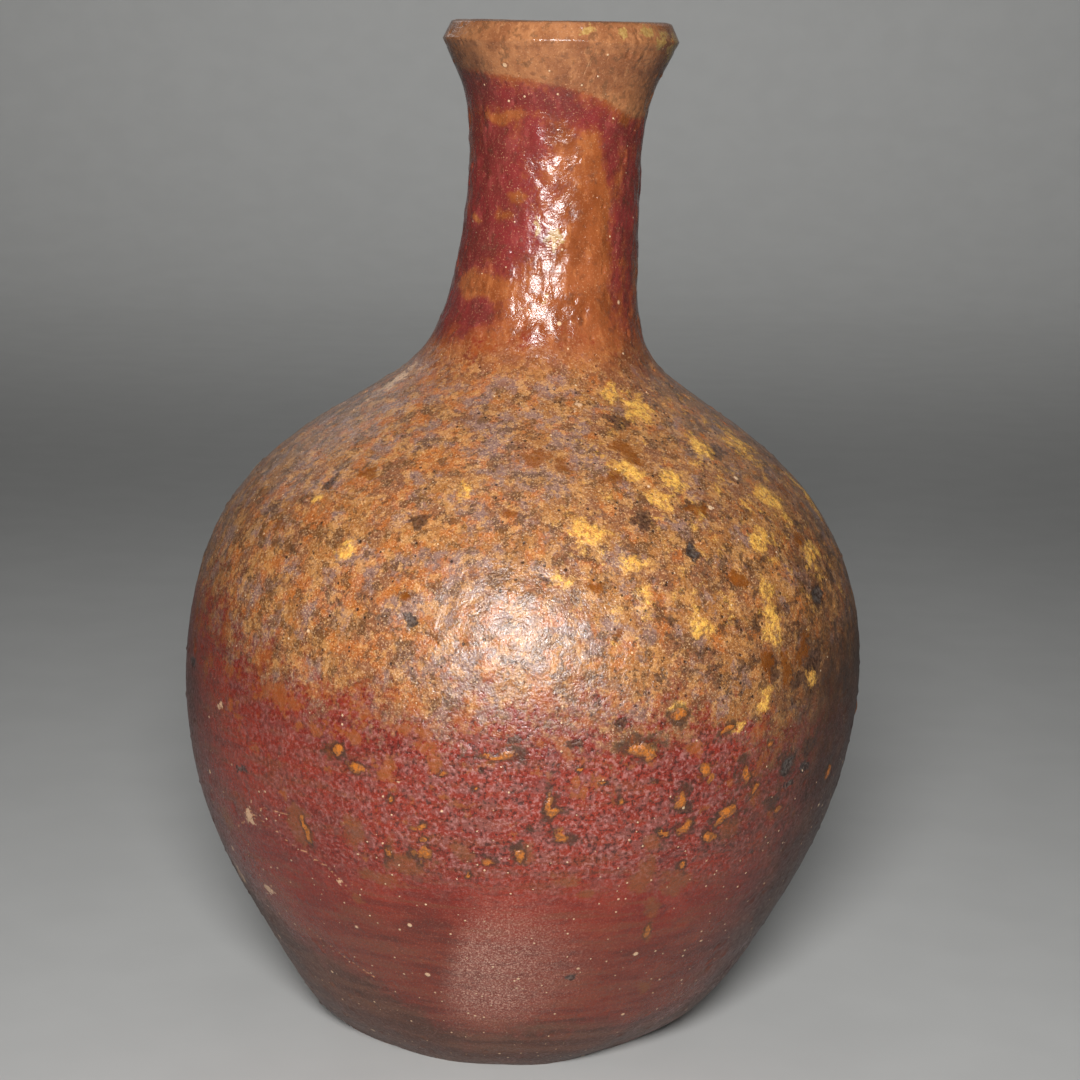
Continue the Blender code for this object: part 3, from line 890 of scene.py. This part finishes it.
    # Quartz grit that shows pale through the clay.
    grit_share = s.mark("grit")
    grit = s.math("MAXIMUM", s.specks(7.0, 0.12, 0.75, grit_share), s.specks(1.9, 0.2, 0.45, grit_share))
    body = over(body, grit, 0.65, srgb(224, 190, 152))

    # Plain unmarked clay inside.
    inside = s.mark("inside")
    plain_clay = s.mix(s.fade(coarse, 0.4, 0.6), srgb(96, 60, 44), srgb(78, 46, 36))
    body = s.mix(inside, body, plain_clay)
    s.give(s.surface.inputs["Base Color"], body)

    # Dry where the clay is bare, under the painted side shade and where the ash is crusted, and glassier on
    # amber and up the neck.
    rough = s.fade(fine, 0.3, 0.7, 0.2, 0.34)
    up_neck = s.fade(s.mark("neck"), -4, 8)
    changes = (
        (ash_edge, 0.03), (bare_edge, 0.20), (side_shade_edge, 0.22), (gold_edge, 0.12), (amber_edge, -0.15),
        (up_neck, -0.06),
    )
    for mask, change in changes:
        rough = s.math("MULTIPLY_ADD", mask, change, rough)
    rough = s.math("MAXIMUM", rough, s.math("MULTIPLY", inside, 0.75))
    s.give(s.surface.inputs["Roughness"], rough)
    s.surface.inputs["Specular IOR Level"].default_value = 0.42

    # Relief too fine for the mesh, in millimetres.
    height = s.math("MULTIPLY_ADD", pebble, 0.16, s.math("MULTIPLY", fine, 0.08))
    height = s.math("MULTIPLY_ADD", medium, 0.12, height)
    height = s.math("MULTIPLY_ADD", s.math("MULTIPLY", peel, pebble), 0.14, height)
    height = s.math("MULTIPLY_ADD", grain, 0.05, height)
    height = s.math("MULTIPLY", height, s.fade(s.mark("neck"), -4, 8, 1, 0.85))
    height = s.math("MULTIPLY_ADD", grit, 0.10, height)
    height = s.math("MULTIPLY_ADD", dots, -0.08, height)
    height = s.math("MULTIPLY_ADD", gold_edge, 0.06, height)
    bump = s.node("ShaderNodeBump", {"Strength": 1.0, "Distance": 1.0 * MM, "Height": height})
    s.give(s.surface.inputs["Normal"], bump.outputs[0])
    return s.material


# ---------------------------------------------------------------- stage

def plain(name, colour, roughness):
    """A pale studio surface with the faintest grain."""
    s = Shader(name)
    tone = s.fade(s.noise(30, 2), 0.3, 0.7)
    darker = tuple(0.97 * part for part in colour[:3]) + (1.0,)
    s.give(s.surface.inputs["Base Color"], s.mix(tone, colour, darker))
    s.surface.inputs["Roughness"].default_value = roughness
    return s.material


def studio_floor():
    """A round floor that sweeps up into a wall all around, so that it is plain from every side."""
    radius, sweep, wall = 2.2, 0.6, 2.4
    sides, arc_steps = 96, 13
    arc = np.linspace(0, math.pi / 2, arc_steps)
    profile = [(0.3, 0.0), (1.0, 0.0)]
    profile += [(radius - sweep + sweep * math.sin(a), sweep * (1 - math.cos(a))) for a in arc]
    profile += [(radius, wall)]
    verts = [(0.0, 0.0, 0.0)]
    faces = []
    for r, z in profile:
        for k in range(sides):
            angle = 2 * math.pi * k / sides
            verts.append((r * math.cos(angle), r * math.sin(angle), z))
    for k in range(sides):
        following = (k + 1) % sides
        faces.append((0, 1 + k, 1 + following))
        for ring in range(len(profile) - 1):
            low, high = 1 + ring * sides, 1 + (ring + 1) * sides
            faces.append((low + k, high + k, high + following, low + following))
    mesh = bpy.data.meshes.new("studio_floor")
    mesh.from_pydata(verts, [], faces)
    mesh.shade_smooth()
    floor = bpy.data.objects.new("studio_floor", mesh)
    bpy.context.scene.collection.objects.link(floor)
    mesh.materials.append(plain("studio_paper", srgb(192, 192, 190), 0.8))


def area_light(name, place, aim, size, watts, spread):
    """A round soft light. Spread is the full angle, in radians, that it fans out over."""
    light = bpy.data.lights.new(name, "AREA")
    light.shape = "DISK"
    light.size = size
    light.energy = watts
    light.spread = spread
    lamp = bpy.data.objects.new(name, light)
    turn = (Vector(aim) - Vector(place)).to_track_quat("-Z", "Y")
    lamp.matrix_world = Matrix.Translation(place) @ turn.to_matrix().to_4x4()
    bpy.context.scene.collection.objects.link(lamp)


def lights():
    """A soft front light above the camera, a broad one overhead, a window to either side of the back, one
    that lights the backdrop from behind the bottle, and a little light from the air."""
    shoulder, middle, wall = (0.0, 0.0, 0.17), (0.0, 0.0, 0.14), (0.0, 2.2, 0.5)
    area_light("front_softbox", (-0.02, -0.76, 0.41), aim=shoulder, size=0.24, watts=2.6, spread=1.5)
    area_light("top_softbox", (0.0, 0.1, 1.6), aim=middle, size=0.8, watts=1.2, spread=3.1)
    area_light("left_window", (-0.6, 1.0, 0.75), aim=middle, size=0.4, watts=0.09, spread=1.2)
    area_light("right_window", (0.65, 1.0, 0.8), aim=middle, size=0.4, watts=0.04, spread=1.2)
    area_light("backdrop_softbox", (0.0, 0.6, 1.7), aim=wall, size=1.0, watts=4.0, spread=1.5)
    world = bpy.data.worlds.new("studio_air")
    world.use_nodes = True
    background = world.node_tree.nodes["Background"]
    background.inputs["Color"].default_value = (0.92, 0.96, 1.0, 1.0)
    background.inputs["Strength"].default_value = 0.04
    bpy.context.scene.world = world


def camera():
    """The camera, a little below the rim's level and looking down at the belly."""
    place = (0.0039, -0.6474, 0.2483)
    data = bpy.data.cameras.new("camera")
    data.sensor_width = 36.0
    data.lens = 87.8
    data.clip_start = 0.01
    viewer = bpy.data.objects.new("camera", data)
    pitch, roll = math.radians(11.0), math.radians(1.2)
    turn = Matrix.Rotation(math.pi / 2 - pitch, 4, "X") @ Matrix.Rotation(roll, 4, "Z")
    viewer.matrix_world = Matrix.Translation(place) @ turn
    bpy.context.scene.collection.objects.link(viewer)
    bpy.context.scene.camera = viewer


camera()
lights()
studio_floor()
bpy.context.scene.view_settings.view_transform = "Standard"

clay = stoneware()
for member, mesh in members():
    mesh.materials.append(clay)
    piece = bpy.data.objects.new(member + "_fired", mesh)
    bpy.context.scene.collection.objects.link(piece)
    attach(piece, "root")
    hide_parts(member)
